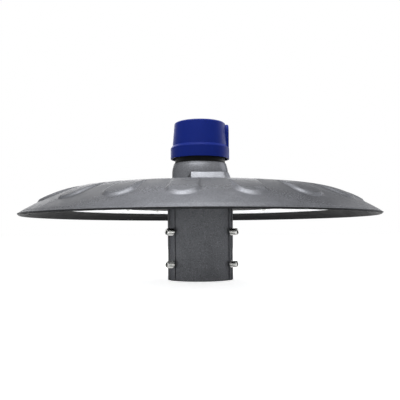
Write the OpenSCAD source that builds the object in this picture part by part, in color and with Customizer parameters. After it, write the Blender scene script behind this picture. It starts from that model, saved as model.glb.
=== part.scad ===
// Pole-top round area light: a shallow petalled dome over a ring lens, carried on a slip fitter,
// with a twist-lock photocontrol on a cast neck. The pole enters the fitter's mouth at height zero.

/* [Dome] */
// Outer radius of the dome at the tip of its rim
rim_r = 250; // [240:1:270]
// Height of the rim's outer tip above the fitter's mouth
rim_height = 92; // [88:1:110]
// Rise of the dome's centre above the rim tip
crown_rise = 46.5; // [44:0.5:52]
// Radius of the wide arc over the middle of the dome
crown_arc_r = 1400; // [1200:10:1800]
// Distance from the rim to where the middle arc turns into the shoulder
shoulder_in = 84; // [80:1:90]
// Radius of the shoulder arc under the petals
shoulder_arc_r = 155; // [150:1:165]
// Radius of the arc of the flange between the petals
flange_arc_r = 330; // [300:5:400]
// Width of the flange from the rim to where neighbouring petals part
flange_w = 75; // [70:1:78]
// Thickness of the cast shell
shell_t = 3.5; // [3:0.1:4.5]
// Inward run of the slanted face under the rim tip
lip_run = 2.4; // [2:0.1:3]
// Drop of the slanted face under the rim tip
lip_drop = 2.4; // [2:0.1:3]

/* [Petals] */
// Number of petals
petal_count = 18; // [12:1:20]
// Distance from the rim to the centre of a petal's round end
petal_in = 40.5; // [38:0.5:44]
// Radius of a petal's round end
petal_end_r = 15; // [13:0.5:17]
// Angle by which each side of a petal opens towards the dome's centre
petal_taper = 8; // [5:0.5:10]
// Angle of the ramp round a petal against the surface under it
petal_ramp = 23; // [18:1:40]

/* [Neck] */
// Outer radius of the neck
neck_r = 40; // [38:0.5:44]
// Height of the neck's top face above the dome's centre
neck_rise = 26.5; // [22:0.5:34]
// Radius of the arc by which the neck's upper part narrows
neck_arc_r = 38; // [30:1:60]
// Height of that narrowing part
neck_arc_h = 15; // [10:0.5:18]
// Radius of the rounding round the neck's top edge
neck_round = 1.5; // [1:0.1:2]
// Radius of the rounding at the neck's foot
neck_foot = 3; // [2:0.5:5]
// Radius of the hole down the neck
neck_bore_r = 31.5; // [31:0.1:33]
// Distance from the axis to the top edge of the front face of the cast block on the neck
nose_reach = 44; // [42:0.5:48]
// Width of that front face
nose_w = 45; // [36:1:50]
// Offset of that front face to the right
nose_shift = 6; // [0:0.5:8]
// Height of the block's top above the dome's centre
nose_rise = 11.2; // [8:0.2:14]
// Angle by which the front face leans back
nose_lean = 17; // [5:1:25]
// Width of the bevel at the front corner of the block on the right
nose_bevel = 12; // [6:0.5:14]

/* [Underside] */
// Height of the cover plate's lower face above the rim tip
cover_lift = 10.8; // [10:0.1:14]
// Thickness of the cover plate
cover_t = 3; // [2.5:0.1:4]
// Outer radius of the cover plate
cover_r = 129.5; // [128.5:0.1:130.5]
// Radius of the circle of cover screws
cover_screw_r = 121; // [120:0.5:121.5]
// Number of cover screws
cover_screw_count = 12; // [6:1:16]
// Thickness of the flat gaskets
seal_t = 1.5; // [1:0.1:2]
// Distance from the rim to the edge of the part of the lens that shows
lens_in = 45; // [43:0.5:47]
// Thickness of the lens
lens_t = 2.2; // [1.8:0.1:2.6]
// Fall of the lens from its inner to its outer edge
lens_fall = 2.1; // [1:0.1:2.5]
// Thickness of the trim ring that clamps the lens
trim_t = 1.5; // [1.2:0.1:1.8]
// Width of the trim ring's flat flange
trim_flange_w = 12; // [11:0.5:14]
// Thickness of the thin lips along both edges of the lens
lens_lip_t = 1.6; // [1.4:0.1:1.8]
// Thickness of the aluminium ring behind the light boards
spreader_t = 3; // [2:0.1:3.4]
// Thickness of the light boards
board_t = 1.6; // [1:0.1:1.6]

/* [Slip fitter] */
// Radius of the socket that takes the pole's tenon
socket_r = 40; // [38:0.1:41]
// Depth of the socket
socket_depth = 96; // [80:1:98]
// Thickness of the fitter's wall
fitter_wall = 6.6; // [5:0.1:8]
// Height by which the screw pads stand out of the wall
pad_raise = 0.8; // [0.4:0.1:1.2]
// Angle that each screw pad spans round the fitter
pad_span = 14; // [12:0.5:20]
// Thickness of the fitter's flange
flange_t = 7.2; // [6:0.1:9]
// Outer radius of the fitter's flange
flange_r = 65; // [63:0.5:70]
// Radius of the circle of flange bolts
bolt_circle_r = 56; // [55:0.5:58]
// Height of the lower row of set screws above the mouth
set_low = 22.5; // [15:0.5:30]
// Distance between the two rows of set screws
set_pitch = 45; // [35:0.5:60]
// Diameter of the set screws
set_d = 10; // [8:0.5:10]
// Length by which a set screw stands out of its pad
set_proud = 9.8; // [4:0.1:14]

/* [Photocontrol] */
// Thickness of the receptacle's flange
receptacle_t = 6; // [5:0.1:8]
// Outer radius of the receptacle
receptacle_r = 35.8; // [35:0.1:37]
// Radius of the circle on which the contact blades stand
blade_circle_r = 16; // [15:0.1:17]
// Angle through which the photocontrol turns from locked to free
twist_angle = 15; // [8:1:20]
// Outer radius of the photocontrol's collar
collar_r = 41.9; // [41:0.1:44]
// Height of the collar
collar_h = 15; // [12:0.5:18]
// Height of the sloping step above the collar
collar_step = 3.5; // [2:0.5:5]
// Radius of the photocontrol's body above the collar
cap_base_r = 39.1; // [38:0.1:40]
// Radius of the photocontrol's body at its top
cap_top_r = 36.5; // [36:0.1:38]
// Height of the body above the step
cap_h = 33; // [30:0.5:40]
// Radius of the rounding round the top of the body
cap_round = 3; // [2:0.5:4]
// Rise of the top in its middle
cap_crown = 1; // [0.5:0.1:2]
// Thickness of the moulded cover
cap_wall = 2.2; // [1.8:0.1:2.4]
// Width of the raised pad round the light sensor's window
window_pad_w = 24; // [20:0.5:26]
// Distance from the axis to the face of that pad
window_pad_reach = 40.2; // [39.6:0.1:41]
// Diameter of the light sensor's window
window_d = 15; // [10:0.5:16]

/* [Hidden] */

fine = 180;
coarse = 48;
// Gap between pieces that are only guided by each other
fit_gap = 0.3;
// Gap round a screw in its hole, on the radius
thread_gap = 0.05;
// Overlap that joins shapes of one piece, and the reach of a cut past a face
join = 1;

shoulder_start_r = rim_r - shoulder_in;
valley_start_r = rim_r - flange_w;
petal_centre_r = rim_r - petal_in;
lens_r = rim_r - lens_in;
rim_z = rim_height;
lip_z = rim_z - lip_drop;
crown_z = rim_z + crown_rise;

// The middle arc and the shoulder arc touch at shoulder_start_r with the same slope.
crown_centre_z = crown_z - crown_arc_r;
shoulder_turn = asin(shoulder_start_r / crown_arc_r);
shoulder_x = (crown_arc_r - shoulder_arc_r) * sin(shoulder_turn);
shoulder_z = crown_centre_z + (crown_arc_r - shoulder_arc_r) * cos(shoulder_turn);
function crown_height(r) = r < shoulder_start_r
    ? crown_centre_z + sqrt(crown_arc_r ^ 2 - r ^ 2)
    : shoulder_z + sqrt(shoulder_arc_r ^ 2 - (r - shoulder_x) ^ 2);

// The flange arc runs from the rim tip to the place where the petals part.
valley_z = crown_height(valley_start_r);
flange_chord = [rim_r - valley_start_r, rim_z - valley_z];
chord_length = norm(flange_chord);
chord_offset = sqrt(flange_arc_r ^ 2 - (chord_length / 2) ^ 2);
flange_x = (rim_r + valley_start_r) / 2 + flange_chord[1] / chord_length * chord_offset;
flange_z = (rim_z + valley_z) / 2 - flange_chord[0] / chord_length * chord_offset;
// Radius of the inside of the skirt at a height
function skirt_r(z) = flange_x + sqrt((flange_arc_r - shell_t) ^ 2 - (z - flange_z) ^ 2);

petal_tilt = asin((petal_centre_r - shoulder_x) / shoulder_arc_r);
petal_spread = 1 / tan(petal_ramp);
petal_depth = 9;
petal_lift = 4;
petal_back = 45;
rim_blank_w = 10;

// Levels of the underside, from the lowest face upwards
cover_z = rim_z + cover_lift;
seat_z = cover_z + cover_t + seal_t;
lens_foot_z = cover_z - lens_fall;
lens_lip_z = lens_foot_z + trim_t;
outer_seat_z = lens_lip_z + lens_lip_t + seal_t;
led_t = 0.7;
spreader_z = seat_z + led_t + board_t;
spreader_top = spreader_z + spreader_t;

// Radial places of the underside
wall_in_r = cover_r - 3;
wall_out_r = cover_r + 2.5;
lens_in_r = wall_in_r + 0.5;
lens_edge_r = lens_r + 3.5;
outer_wall_in_r = lens_r - 1.5;
outer_wall_out_r = lens_edge_r + 2.5;
trim_bend_r = lens_r + trim_flange_w;
trim_screw_r = trim_bend_r - 3.5;
cover_boss_r = 6.5;
trim_boss_r = 4.2;
cover_screw_d = 5;
trim_screw_d = 4;
small_screw_d = 3;
cover_screw_l = 14;
trim_screw_l = 9;
pilot_spare = 2;
trim_screw_count = 12;
trim_slope = 0.36;
rib_count = 12;
rib_t = 3;
spreader_screw_count = 6;
spreader_screw_r = (wall_out_r + outer_wall_in_r) / 2;
spreader_boss_r = 5;

// Levels and radii of the fitter
fitter_r = socket_r + fitter_wall;
pad_r = fitter_r + pad_raise;
fitter_seal_t = 1;
flange_z0 = cover_z + cover_t + fitter_seal_t;
flange_top = flange_z0 + flange_t;
mouth_bevel = 1;
wire_hole_r = 20;
floor_t = 5;
grommet_wall = 3;
grommet_lip = 4;
grommet_lip_t = 2.5;
bolt_count = 6;
bolt_d = 8;
bolt_l = 20;
post_r = 8;
set_angles = [-30, 90, 210];
set_rows = [set_low, set_low + set_pitch];
set_hex = set_d / 2;

// Driver space above the cover plate
driver_top = crown_height(cover_screw_r) - shell_t - 1;
driver_h = 20;
driver_in = 66;
driver_w = 33;
driver_l = 84;
driver_ear = 8;
driver_ear_t = 3;
driver_hole_x = driver_in + driver_w / 2;
driver_hole_y = driver_l / 2 + driver_ear / 2;
driver_boss_r = 4.5;
block_in = 68;
surge_size = [34, 24, 17];
terminal_poles = 5;
terminal_pole_w = 9;
terminal_size = [terminal_poles * terminal_pole_w, 20, 15];

// Neck, receptacle and photocontrol levels
neck_top = crown_z + neck_rise;
neck_top_r = neck_r - neck_arc_r + sqrt(neck_arc_r ^ 2 - (neck_arc_h - neck_round) ^ 2);
receptacle_seal_t = 1;
receptacle_z = neck_top + receptacle_seal_t;
receptacle_top = receptacle_z + receptacle_t;
body_r = 22;
body_drop = 20;
neck_boss_x = 28;
neck_boss_r = 5;
neck_boss_h = 14;
slot_in_r = blade_circle_r - 1.6;
slot_out_r = blade_circle_r + 3;
slot_lip_t = 4;
slot_depth = body_drop + receptacle_t - 3;
slot_spare = 2;
contact_r = slot_out_r - 0.3;
contact_span = 24;
tail_span = 14;
blade_t = 1.6;
blade_spans = [44, 34, 34];
blade_angles = [-90, 30, 150];
blade_foot = 6;
blade_length = 22;
foot_h = 11;
contact_t = 1;
tail_drop = 8;
lead_r = 1.5;
lead_end = 5;
receptacle_screw_l = 12;
screw_sink = 2.4;
lead_level = flange_top + 11;

pc_z = receptacle_top + fit_gap;
pad_ring_t = 3;
base_z = pc_z + pad_ring_t;
base_t = 4;
skirt_drop = 0.8;
cover_low = pc_z - skirt_drop;
collar_top = cover_low + collar_h;
cap_foot = collar_top + collar_step;
cap_side_top = cap_foot + cap_h - cap_round;
cap_top = cap_foot + cap_h;
base_r = collar_r - cap_wall - fit_gap / 2;
ledge_z = base_z + base_t;
board_r = cap_base_r - cap_wall - 3;
board_z = ledge_z + 4;
arch_r = window_pad_w / 2;
arch_z = cap_top - 1.5 - arch_r;
window_z = arch_z - 2;
window_t = 1.6;
eye_d = 6;

housing_grey = [0.45, 0.46, 0.48];
dark_grey = [0.25, 0.25, 0.26];
lens_white = [0.93, 0.94, 0.95];
steel = [0.75, 0.75, 0.74];
rubber_black = [0.1, 0.1, 0.1];
plastic_black = [0.12, 0.12, 0.13];
cap_blue = [0.08, 0.13, 0.42];
brass_yellow = [0.72, 0.6, 0.3];
board_green = [0.1, 0.35, 0.2];
bare_metal = [0.7, 0.71, 0.72];

// A ring of copies, each turned to face outwards
module on_circle(count, r, start = 0) {
    for (i = [0:count - 1])
        rotate([0, 0, start + i * 360 / count])
            translate([r, 0, 0])
                children();
}

module disc_ring(outer, inner, h) {
    difference() {
        cylinder(h = h, r = outer, $fn = fine);
        translate([0, 0, -join]) cylinder(h = h + 2 * join, r = inner, $fn = fine);
    }
}

// A button-head screw that points up from the face it clamps at height zero
module button_screw(d, length) {
    head_r = d * 0.9;
    head_h = d * 0.55;
    difference() {
        union() {
            cylinder(h = length, r = d / 2, $fn = coarse);
            intersection() {
                translate([0, 0, -head_h]) cylinder(h = head_h, r = head_r, $fn = coarse);
                translate([0, 0, head_r * 1.25 - head_h]) sphere(r = head_r * 1.25, $fn = coarse);
            }
        }
        translate([0, 0, -head_h - join]) cylinder(h = head_h * 0.6 + join, r = d * 0.33, $fn = 6);
    }
}

// A countersunk screw that points up, its flat head's face at height zero
module flush_screw(d, length) {
    head_h = d * 0.3;
    difference() {
        union() {
            cylinder(h = length, r = d / 2, $fn = coarse);
            cylinder(h = head_h, r1 = d * 0.8, r2 = d / 2, $fn = coarse);
        }
        translate([0, 0, -join]) cylinder(h = head_h * 0.6 + join, r = d * 0.28, $fn = 6);
    }
}

// Part of a ring, between two angles, as a solid of revolution
module arc_block(inner, outer, from, to, h) {
    rotate([0, 0, from])
        rotate_extrude(angle = to - from, $fn = fine)
            translate([inner, 0]) square([outer - inner, h]);
}

// A wedge from the axis outwards, between two angles
module sector(from, to, h) {
    reach = 3 * body_r;
    third = (to - from) / 3;
    linear_extrude(height = h)
        polygon([[0, 0], [reach * cos(from), reach * sin(from)],
            [reach * cos(from + third), reach * sin(from + third)],
            [reach * cos(to - third), reach * sin(to - third)], [reach * cos(to), reach * sin(to)]]);
}

module crown_section() {
    intersection() {
        translate([0, crown_centre_z]) circle(r = crown_arc_r, $fn = 1440);
        translate([0, lip_z]) square([shoulder_start_r, crown_z]);
    }
    intersection() {
        translate([shoulder_x, shoulder_z]) circle(r = shoulder_arc_r, $fn = 720);
        translate([shoulder_start_r, lip_z]) square([rim_r - shoulder_start_r, crown_z]);
    }
}

// Section of the blank from which the valleys are sunk, with its slanted rim face
module blank_section() {
    difference() {
        union() {
            crown_section();
            translate([rim_r - rim_blank_w, lip_z]) square([rim_blank_w, rim_blank_w + lip_drop]);
        }
        polygon([[rim_r, rim_z], [rim_r - lip_run, lip_z], [rim_r - lip_run, lip_z - join],
            [rim_r + join, lip_z - join], [rim_r + join, rim_z]]);
    }
}

// One petal as a blunt cone and a wedge, both leaning with the dome's surface
module petal_block() {
    reach = 100;
    translate([petal_centre_r, 0, crown_height(petal_centre_r)])
        rotate([0, petal_tilt, 0]) {
            translate([0, 0, -petal_depth])
                cylinder(h = petal_depth + petal_lift, r1 = petal_end_r + petal_depth * petal_spread,
                    r2 = petal_end_r - petal_lift * petal_spread, $fn = 96);
            intersection() {
                translate([-petal_back, -reach / 2, -petal_depth])
                    cube([petal_back, reach, petal_depth + petal_lift]);
                rotate([0, 0, petal_taper])
                    translate([0, petal_end_r, 0])
                        rotate([-petal_ramp, 0, 0])
                            translate([-reach, -reach, -reach]) cube([2 * reach, reach, reach]);
                rotate([0, 0, -petal_taper])
                    translate([0, -petal_end_r, 0])
                        rotate([petal_ramp, 0, 0])
                            translate([-reach, 0, -reach]) cube([2 * reach, reach, reach]);
            }
        }
}

module valley_cut() {
    difference() {
        rotate_extrude($fn = 360)
            difference() {
                translate([valley_start_r - 10, rim_z - 4]) square([rim_r + 2 - valley_start_r + 10, crown_rise]);
                translate([flange_x, flange_z]) circle(r = flange_arc_r, $fn = 720);
            }
        on_circle(petal_count, 0) petal_block();
    }
}

// Section of the space under the shell, or of a surface that lies deep under its outside
module under_section(depth) {
    split_r = shoulder_start_r - 4;
    low = lip_z - join;
    intersection() {
        translate([0, crown_centre_z]) circle(r = crown_arc_r - depth, $fn = 1440);
        union() {
            translate([0, low]) square([split_r + join, crown_z]);
            intersection() {
                translate([flange_x, flange_z]) circle(r = flange_arc_r - depth, $fn = 720);
                translate([split_r, low]) square([rim_r - split_r, crown_z]);
            }
        }
    }
}

module neck_section() {
    foot_z = crown_z - shell_t / 2;
    arc_z = neck_top - neck_arc_h;
    arc_x = neck_r - neck_arc_r;
    difference() {
        translate([0, foot_z]) square([neck_r, arc_z - foot_z]);
        translate([-neck_r, foot_z]) square([neck_r, arc_z - foot_z]);
    }
    intersection() {
        translate([arc_x, arc_z]) circle(r = neck_arc_r, $fn = 360);
        translate([0, arc_z - join]) square([neck_r, neck_arc_h - neck_round + join]);
    }
    intersection() {
        translate([neck_top_r - neck_round, neck_top - neck_round]) circle(r = neck_round, $fn = 96);
        translate([0, arc_z]) square([neck_r, neck_arc_h]);
    }
    translate([0, neck_top - neck_round - join]) square([neck_top_r - neck_round, neck_round + join]);
    difference() {
        translate([neck_r - join, foot_z]) square([neck_foot + join, neck_foot + shell_t / 2]);
        translate([neck_r + neck_foot, crown_z + neck_foot]) circle(r = neck_foot, $fn = 96);
    }
}

// The cast block stands against the front of the neck, off centre, with one bevelled corner.
module nose_solid() {
    left = nose_shift - nose_w / 2;
    right = nose_shift + nose_w / 2;
    top = crown_z + nose_rise;
    low = crown_height(nose_reach + nose_bevel) - shell_t / 2;
    foot_y = -nose_reach - (top - low) * tan(nose_lean);
    side_run = (top - low) * 0.8;
    intersection() {
        translate([0, 0, low])
            linear_extrude(height = top - low)
                polygon([[left - side_run, 0], [left - side_run, foot_y], [right, foot_y],
                    [right + nose_bevel, foot_y + nose_bevel], [right + nose_bevel, 0]]);
        rotate([90, 0, 0])
            linear_extrude(height = -foot_y + join)
                polygon([[left - side_run, low - join], [left - side_run, low], [left, top],
                    [right + nose_bevel / 2, top], [right + nose_bevel, low], [right + nose_bevel, low - join]]);
        rotate([90, 0, 90]) translate([0, 0, left - side_run - join])
            linear_extrude(height = nose_w + side_run + nose_bevel + 2 * join)
                polygon([[0, low - join], [foot_y, low - join], [foot_y, low], [-nose_reach, top], [0, top]]);
    }
}

module inner_walls() {
    tall = crown_z;
    translate([0, 0, seat_z]) linear_extrude(height = tall) {
        difference() {
            circle(r = wall_out_r, $fn = fine);
            circle(r = wall_in_r, $fn = fine);
        }
        on_circle(cover_screw_count, cover_screw_r, 90) circle(r = cover_boss_r, $fn = coarse);
    }
    rotate_extrude($fn = fine)
        polygon([[outer_wall_in_r, outer_seat_z], [lens_edge_r + fit_gap, outer_seat_z],
            [lens_edge_r + fit_gap, lens_lip_z], [outer_wall_out_r, lens_lip_z],
            [outer_wall_out_r, tall], [outer_wall_in_r, tall]]);
    on_circle(trim_screw_count, trim_screw_r, 15) translate([0, 0, lens_lip_z])
        cylinder(h = tall, r = trim_boss_r, $fn = coarse);
    on_circle(rib_count, 0, 15) translate([wall_out_r - join, -rib_t / 2, spreader_top])
        cube([outer_wall_in_r - wall_out_r + 2 * join, rib_t, tall]);
    on_circle(spreader_screw_count, spreader_screw_r, 0) translate([0, 0, spreader_top])
        cylinder(h = tall, r = spreader_boss_r, $fn = coarse);
    on_circle(bolt_count, bolt_circle_r, 0) translate([0, 0, flange_top])
        cylinder(h = tall, r = post_r, $fn = coarse);
    for (side = [-1, 1], end = [-1, 1])
        translate([side * driver_hole_x, end * driver_hole_y, driver_top])
            cylinder(h = tall, r = driver_boss_r, $fn = coarse);
    translate([-surge_size[0] / 4, block_in + 4, driver_top]) cube([surge_size[0] / 2, surge_size[1] - 8, tall]);
    translate([-terminal_size[0] / 4, -block_in - terminal_size[1] + 4, driver_top])
        cube([terminal_size[0] / 2, terminal_size[1] - 8, tall]);
}

module screw_hole(d, length) {
    translate([0, 0, -join]) cylinder(h = length + join, r = d / 2 + thread_gap, $fn = coarse);
}

// A hole for a countersunk screw that comes from below, its head's face at height zero
module flush_hole(d, through) {
    head_h = d * 0.3;
    screw_hole(d, through + join);
    translate([0, 0, -join]) cylinder(h = join, r = d * 0.8 + thread_gap, $fn = coarse);
    cylinder(h = head_h, r1 = d * 0.8 + thread_gap, r2 = d / 2 + thread_gap, $fn = coarse);
}

module dome_housing() color(housing_grey) difference() {
    union() {
        difference() {
            union() {
                difference() {
                    rotate_extrude($fn = 360) blank_section();
                    valley_cut();
                }
                rotate_extrude($fn = fine) neck_section();
                nose_solid();
            }
            rotate_extrude($fn = 360) under_section(shell_t);
        }
        intersection() {
            rotate_extrude($fn = 360) under_section(shell_t / 2);
            inner_walls();
        }
        for (side = [-1, 1]) intersection() {
            translate([side * neck_boss_x, 0, neck_top - neck_boss_h]) cylinder(h = neck_boss_h, r = neck_boss_r, $fn = coarse);
            translate([0, 0, neck_top - neck_boss_h]) cylinder(h = neck_boss_h, r = neck_bore_r + join, $fn = fine);
        }
    }
    difference() {
        translate([0, 0, seat_z]) cylinder(h = neck_top, r = neck_bore_r, $fn = fine);
        for (side = [-1, 1]) translate([side * neck_boss_x, 0, neck_top - neck_boss_h])
            cylinder(h = neck_top, r = neck_boss_r, $fn = coarse);
    }
    on_circle(cover_screw_count, cover_screw_r, 90) translate([0, 0, seat_z])
        screw_hole(cover_screw_d, cover_screw_l - cover_t - seal_t + pilot_spare);
    on_circle(trim_screw_count, trim_screw_r, 15) translate([0, 0, lens_lip_z])
        screw_hole(trim_screw_d, trim_screw_l - trim_t + pilot_spare);
    on_circle(spreader_screw_count, spreader_screw_r, 0) translate([0, 0, spreader_top])
        screw_hole(small_screw_d, 6);
    on_circle(bolt_count, bolt_circle_r, 0) translate([0, 0, flange_top])
        screw_hole(bolt_d, bolt_l - flange_t + pilot_spare);
    for (side = [-1, 1], end = [-1, 1])
        translate([side * driver_hole_x, end * driver_hole_y, driver_top]) screw_hole(small_screw_d, 3.5);
    for (side = [-1, 1]) translate([side * neck_boss_x, 0, neck_top])
        rotate([180, 0, 0]) screw_hole(small_screw_d, receptacle_screw_l);
}

module cover_plate() color(dark_grey) difference() {
    union() {
        translate([0, 0, cover_z]) cylinder(h = cover_t, r = wall_in_r, $fn = fine);
        translate([0, 0, cover_z]) cylinder(h = cover_t - lens_lip_t, r = cover_r, $fn = fine);
    }
    translate([0, 0, cover_z - join]) cylinder(h = cover_t + 2 * join, r = pad_r + fit_gap, $fn = fine);
    on_circle(cover_screw_count, cover_screw_r, 90) translate([0, 0, cover_z])
        screw_hole(cover_screw_d, cover_t + join);
}

module cover_gasket() color(rubber_black) translate([0, 0, seat_z - seal_t]) difference() {
    disc_ring(wall_out_r - 0.5, cover_screw_r - cover_boss_r, seal_t);
    on_circle(cover_screw_count, cover_screw_r, 90) screw_hole(cover_screw_d, seal_t + join);
}

module cover_screws() color(steel) on_circle(cover_screw_count, cover_screw_r, 90)
    translate([0, 0, cover_z]) button_screw(cover_screw_d, cover_screw_l);

// The lens ring has a thin inner lip over the cover plate and a thin outer lip over the trim ring.
module lens_ring() color(lens_white) rotate_extrude($fn = fine)
    polygon([[cover_r + fit_gap, cover_z], [lens_r, lens_foot_z], [lens_r, lens_lip_z],
        [lens_edge_r, lens_lip_z], [lens_edge_r, lens_lip_z + lens_lip_t], [lens_r - 3, lens_lip_z + lens_lip_t],
        [wall_out_r + 3, cover_z + lens_t], [wall_out_r, cover_z + cover_t],
        [lens_in_r, cover_z + cover_t], [lens_in_r, cover_z + cover_t - lens_lip_t],
        [cover_r + fit_gap, cover_z + cover_t - lens_lip_t]]);

module lens_gasket() color(rubber_black) translate([0, 0, outer_seat_z - seal_t])
    disc_ring(lens_edge_r, outer_wall_in_r, seal_t);

trim_edge_z = lens_foot_z - (skirt_r(lens_foot_z) - trim_bend_r) * trim_slope;
module trim_ring() color(housing_grey) difference() {
    rotate_extrude($fn = fine)
        polygon([[lens_r, lens_foot_z], [trim_bend_r, lens_foot_z],
            [skirt_r(trim_edge_z + trim_t) - fit_gap, trim_edge_z],
            [skirt_r(trim_edge_z + trim_t) - fit_gap, trim_edge_z + trim_t],
            [trim_bend_r, lens_lip_z], [lens_r, lens_lip_z]]);
    on_circle(trim_screw_count, trim_screw_r, 15) translate([0, 0, lens_foot_z]) {
        flush_hole(trim_screw_d, trim_t);
    }
}

module trim_screws() color(housing_grey) on_circle(trim_screw_count, trim_screw_r, 15)
    translate([0, 0, lens_foot_z]) flush_screw(trim_screw_d, trim_screw_l);

module heat_spreader() color(bare_metal) translate([0, 0, spreader_z]) difference() {
    disc_ring(outer_wall_in_r - fit_gap, wall_out_r + fit_gap, spreader_t);
    on_circle(spreader_screw_count, spreader_screw_r, 0) screw_hole(small_screw_d, spreader_t + join);
}

module spreader_screws() color(steel) on_circle(spreader_screw_count, spreader_screw_r, 0)
    translate([0, 0, spreader_z]) button_screw(small_screw_d, spreader_t + 5);

led_sectors = 6;
led_rows = 3;
led_per_row = 8;
led_size = 3.5;
board_in_r = wall_out_r + 4;
board_out_r = outer_wall_in_r - 4;
board_span = 360 / led_sectors - 8;

module led_boards() color(lens_white) translate([0, 0, spreader_z - board_t])
    for (i = [0:led_sectors - 1])
        arc_block(board_in_r, board_out_r, (i + 0.5) * 360 / led_sectors - board_span / 2,
            (i + 0.5) * 360 / led_sectors + board_span / 2, board_t);

module led_chips() color([0.95, 0.85, 0.4])
    for (i = [0:led_sectors - 1], row = [0:led_rows - 1], k = [0:led_per_row - 1])
        rotate([0, 0, (i + 0.5) * 360 / led_sectors + (k - (led_per_row - 1) / 2) * board_span / led_per_row])
            translate([board_in_r + (row + 0.5) * (board_out_r - board_in_r) / led_rows - led_size / 2,
                -led_size / 2, spreader_z - board_t - led_t])
                cube([led_size, led_size, led_t]);

module slip_fitter() color(housing_grey) difference() {
    union() {
        cylinder(h = flange_top, r = fitter_r, $fn = fine);
        for (angle = set_angles)
            arc_block(socket_r + fitter_wall / 2, pad_r, angle - pad_span / 2, angle + pad_span / 2, flange_z0 + join);
        translate([0, 0, flange_z0]) cylinder(h = flange_t, r = flange_r, $fn = fine);
    }
    translate([0, 0, -join]) cylinder(h = socket_depth + join, r = socket_r, $fn = fine);
    translate([0, 0, -0.01]) cylinder(h = mouth_bevel, r1 = socket_r + mouth_bevel, r2 = socket_r, $fn = fine);
    translate([0, 0, socket_depth - join]) cylinder(h = flange_top, r = wire_hole_r, $fn = fine);
    translate([0, 0, socket_depth - join])
        cylinder(h = grommet_lip_t + join, r = wire_hole_r + grommet_lip, $fn = fine);
    translate([0, 0, socket_depth + floor_t]) cylinder(h = flange_top, r = socket_r - 2, $fn = fine);
    for (angle = set_angles, z = set_rows)
        rotate([0, 0, angle]) translate([socket_r - 5, 0, z]) rotate([0, 90, 0])
            cylinder(h = fitter_wall + 10, r = set_d / 2 + thread_gap, $fn = coarse);
    on_circle(bolt_count, bolt_circle_r, 0) translate([0, 0, flange_z0]) flush_hole(bolt_d, flange_t);
}

module fitter_gasket() color(rubber_black) translate([0, 0, cover_z + cover_t])
    disc_ring(flange_r, pad_r + fit_gap, fitter_seal_t);

module fitter_bolts() color(steel) on_circle(bolt_count, bolt_circle_r, 0)
    translate([0, 0, flange_z0]) flush_screw(bolt_d, bolt_l);

module set_screws() color(steel) for (angle = set_angles, z = set_rows)
    rotate([0, 0, angle]) translate([socket_r + fit_gap, 0, z]) rotate([0, 90, 0]) {
        length = pad_r + set_proud - socket_r - fit_gap;
        bevel = set_d * 0.1;
        difference() {
            rotate_extrude($fn = coarse)
                polygon([[0, 0], [set_d / 2 - 2 * bevel, 0], [set_d / 2, 2 * bevel],
                    [set_d / 2, length - bevel], [set_d / 2 - bevel, length], [0, length]]);
            translate([0, 0, length - set_hex]) cylinder(h = set_hex + join, r = set_hex / sqrt(3), $fn = 6);
        }
    }

// A rubber bush in the hole through the fitter's floor
module wire_grommet() color(rubber_black) rotate_extrude($fn = fine) {
    top = socket_depth + floor_t;
    low = socket_depth + grommet_lip_t;
    polygon([[wire_hole_r - grommet_wall, socket_depth], [wire_hole_r + grommet_lip, socket_depth],
        [wire_hole_r + grommet_lip, low], [wire_hole_r, low], [wire_hole_r, top],
        [wire_hole_r + grommet_lip, top], [wire_hole_r + grommet_lip, top + grommet_lip_t],
        [wire_hole_r - grommet_wall, top + grommet_lip_t]]);
}

// A flat driver case with an ear at each end, its top face against the housing's bosses
module driver_case(side) {
    difference() {
        union() {
            translate([side > 0 ? driver_in : -driver_in - driver_w, -driver_l / 2, driver_top - driver_h])
                cube([driver_w, driver_l, driver_h]);
            translate([side * driver_hole_x - driver_ear, -driver_l / 2 - driver_ear, driver_top - driver_ear_t])
                cube([2 * driver_ear, driver_l + 2 * driver_ear, driver_ear_t]);
        }
        for (end = [-1, 1]) translate([side * driver_hole_x, end * driver_hole_y, driver_top - driver_ear_t])
            screw_hole(small_screw_d, driver_ear_t + join);
    }
}

module driver_left() color(bare_metal) driver_case(-1);

module driver_right() color(bare_metal) driver_case(1);

module driver_screws() color(steel) for (side = [-1, 1], end = [-1, 1])
    translate([side * driver_hole_x, end * driver_hole_y, driver_top - driver_ear_t])
        button_screw(small_screw_d, driver_ear_t + 3);

module surge_protector() color(plastic_black)
    translate([-surge_size[0] / 2, block_in, driver_top - surge_size[2]]) cube(surge_size);

module terminal_block() color(lens_white) difference() {
    translate([-terminal_size[0] / 2, -block_in - terminal_size[1], driver_top - terminal_size[2]])
        cube(terminal_size);
    for (i = [0:terminal_poles - 1])
        translate([(i - (terminal_poles - 1) / 2) * terminal_pole_w, -block_in + join, lead_level]) rotate([90, 0, 0])
            cylinder(h = lead_end + 2 * join, r = lead_r + thread_gap, $fn = coarse);
}

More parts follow.
